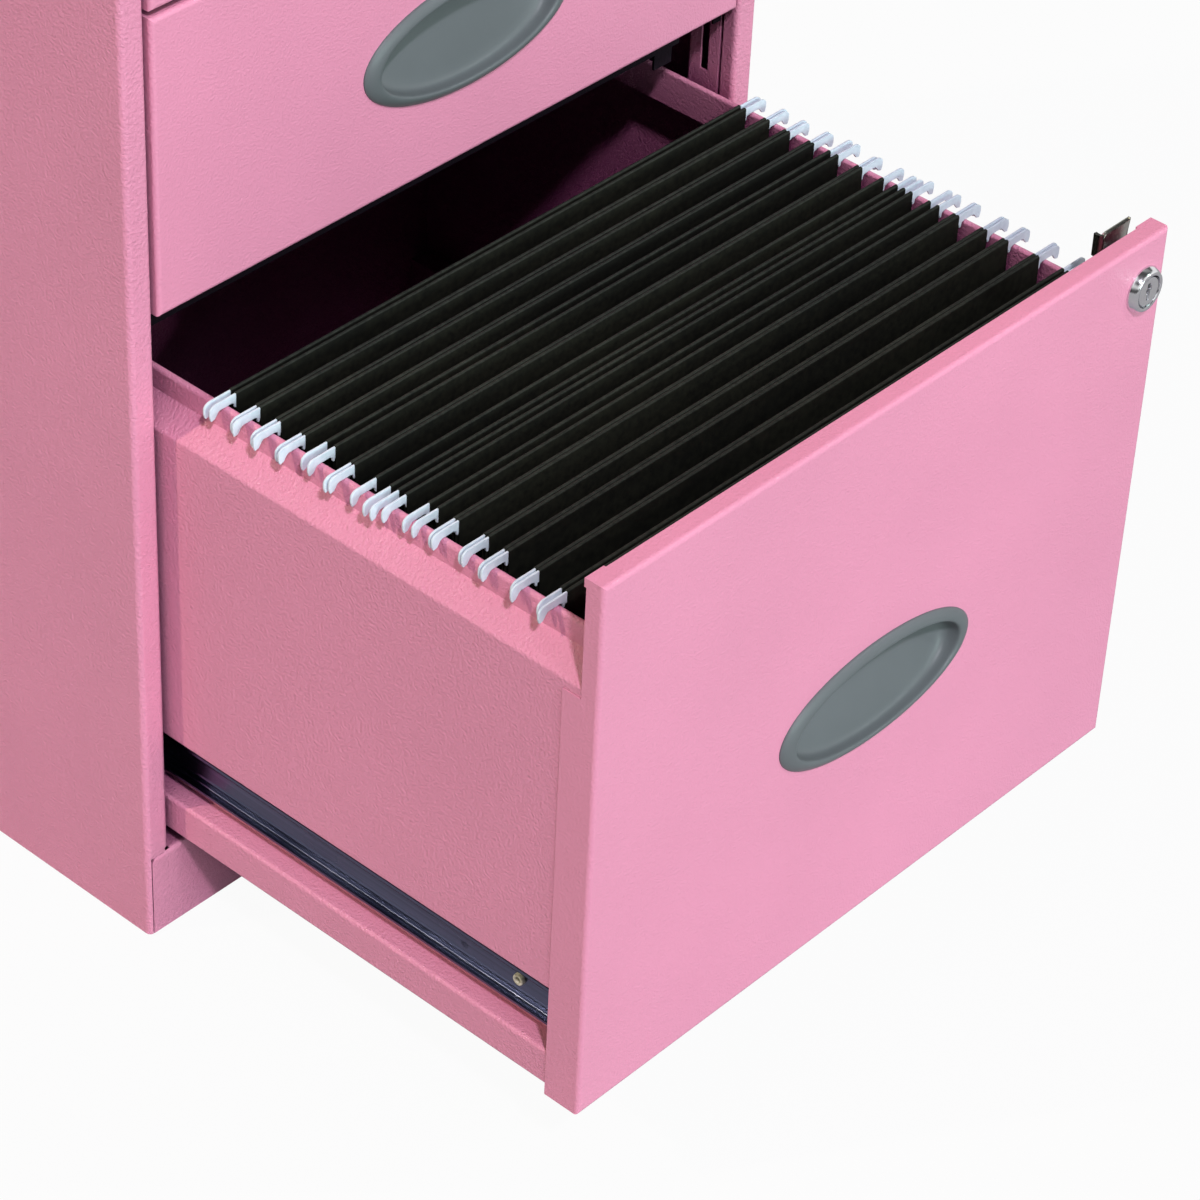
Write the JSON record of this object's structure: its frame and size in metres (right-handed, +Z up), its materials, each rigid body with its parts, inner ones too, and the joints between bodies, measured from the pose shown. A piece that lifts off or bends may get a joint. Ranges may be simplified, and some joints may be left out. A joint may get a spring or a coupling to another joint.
{
  "type": "filing cabinet",
  "caption": "Free-standing steel filing cabinet with box drawers over a lockable letter-size file drawer on ball-bearing slides, holding hanging folders.",
  "frame": {"origin": "on the floor, under the middle of the bounding box with the file drawer standing open as at rest", "axes": "+Y from the drawer fronts to the back of the case, +X to the right seen from the front, +Z up"},
  "size_m": [0.362, 0.6902, 0.6],
  "materials": {
    "case_paint": "textured powder coat",
    "drawer_paint": "textured powder coat",
    "slide_steel": "bright zinc plate",
    "cup_plastic": "satin grey moulding",
    "lock_chrome": "polished",
    "folder_card": "matt dark sheet",
    "rod_steel": "white coated",
    "glide_plastic": "moulded pad on a steel stud"
  },
  "bodies": {
    "cabinet": {"back_panel": "case_paint", "base_rail_front": "case_paint", "base_rail_rear": "case_paint", "divider_rail_lower": "case_paint", "divider_rail_upper": "case_paint", "file_runner_left": "slide_steel", "file_runner_right": "slide_steel", "foot_brackets": "case_paint", "levelling_glides": "glide_plastic", "middle_runner_left": "slide_steel", "middle_runner_right": "slide_steel", "side_panel_left": "case_paint", "side_panel_right": "case_paint", "top_panel": "case_paint", "top_runner_left": "slide_steel", "top_runner_right": "slide_steel", "upright_front_left": "case_paint", "upright_front_right": "case_paint", "upright_rear_left": "case_paint", "upright_rear_right": "case_paint"},
    "file_drawer": {"file_back": "drawer_paint", "file_floor": "drawer_paint", "file_front": "drawer_paint", "file_handle": "cup_plastic", "file_rivets": "slide_steel", "file_side_left": "drawer_paint", "file_side_right": "drawer_paint", "file_slide_left": "slide_steel", "file_slide_right": "slide_steel", "folder_papers": "folder_card", "folder_rods": "rod_steel", "lock_housing": "lock_chrome", "lock_nut": "lock_chrome"},
    "middle_drawer": {"middle_back": "drawer_paint", "middle_front": "drawer_paint", "middle_handle": "cup_plastic", "middle_rivets": "slide_steel", "middle_slide_left": "slide_steel", "middle_slide_right": "slide_steel", "middle_tray": "drawer_paint"},
    "top_drawer": {"top_back": "drawer_paint", "top_front": "drawer_paint", "top_handle": "cup_plastic", "top_rivets": "slide_steel", "top_slide_left": "slide_steel", "top_slide_right": "slide_steel", "top_tray": "drawer_paint"},
    "lock": {"cam_screw": "lock_chrome", "lock_cam": "lock_chrome", "lock_plug": "lock_chrome"},
    "file_cage_left": {"file_ball_cage_left": "slide_steel"},
    "file_cage_right": {"file_ball_cage_right": "slide_steel"},
    "middle_cage_left": {"middle_ball_cage_left": "slide_steel"},
    "middle_cage_right": {"middle_ball_cage_right": "slide_steel"},
    "top_cage_left": {"top_ball_cage_left": "slide_steel"},
    "top_cage_right": {"top_ball_cage_right": "slide_steel"}
  },
  "joints": [
    {"name": "file_drawer_slide", "type": "slide", "parent": "cabinet", "child": "file_drawer", "axis": [0, -1, 0], "range_m": [-0.2285, 0.0715]},
    {"name": "middle_drawer_slide", "type": "slide", "parent": "cabinet", "child": "middle_drawer", "axis": [0, -1, 0], "range_m": [0, 0.3]},
    {"name": "top_drawer_slide", "type": "slide", "parent": "cabinet", "child": "top_drawer", "axis": [0, -1, 0], "range_m": [0, 0.3]},
    {"name": "file_cage_left_roll", "type": "slide", "parent": "cabinet", "child": "file_cage_left", "axis": [0, -1, 0], "range_m": [-0.11425, 0.03575]},
    {"name": "file_cage_right_roll", "type": "slide", "parent": "cabinet", "child": "file_cage_right", "axis": [0, -1, 0], "range_m": [-0.11425, 0.03575]},
    {"name": "middle_cage_left_roll", "type": "slide", "parent": "cabinet", "child": "middle_cage_left", "axis": [0, -1, 0], "range_m": [0, 0.15]},
    {"name": "middle_cage_right_roll", "type": "slide", "parent": "cabinet", "child": "middle_cage_right", "axis": [0, -1, 0], "range_m": [0, 0.15]},
    {"name": "top_cage_left_roll", "type": "slide", "parent": "cabinet", "child": "top_cage_left", "axis": [0, -1, 0], "range_m": [0, 0.15]},
    {"name": "top_cage_right_roll", "type": "slide", "parent": "cabinet", "child": "top_cage_right", "axis": [0, -1, 0], "range_m": [0, 0.15]},
    {"name": "lock_turn", "type": "hinge", "parent": "file_drawer", "child": "lock", "pos_m": [0.153, -0.34135, 0.282], "axis": [0, -1, 0], "range_deg": [0, 90]}
  ],
  "couplings": [
    {"joint": "file_cage_left_roll", "follows": "file_drawer_slide", "ratio": 0.5},
    {"joint": "file_cage_right_roll", "follows": "file_drawer_slide", "ratio": 0.5},
    {"joint": "middle_cage_left_roll", "follows": "middle_drawer_slide", "ratio": 0.5},
    {"joint": "middle_cage_right_roll", "follows": "middle_drawer_slide", "ratio": 0.5},
    {"joint": "top_cage_left_roll", "follows": "top_drawer_slide", "ratio": 0.5},
    {"joint": "top_cage_right_roll", "follows": "top_drawer_slide", "ratio": 0.5}
  ]
}
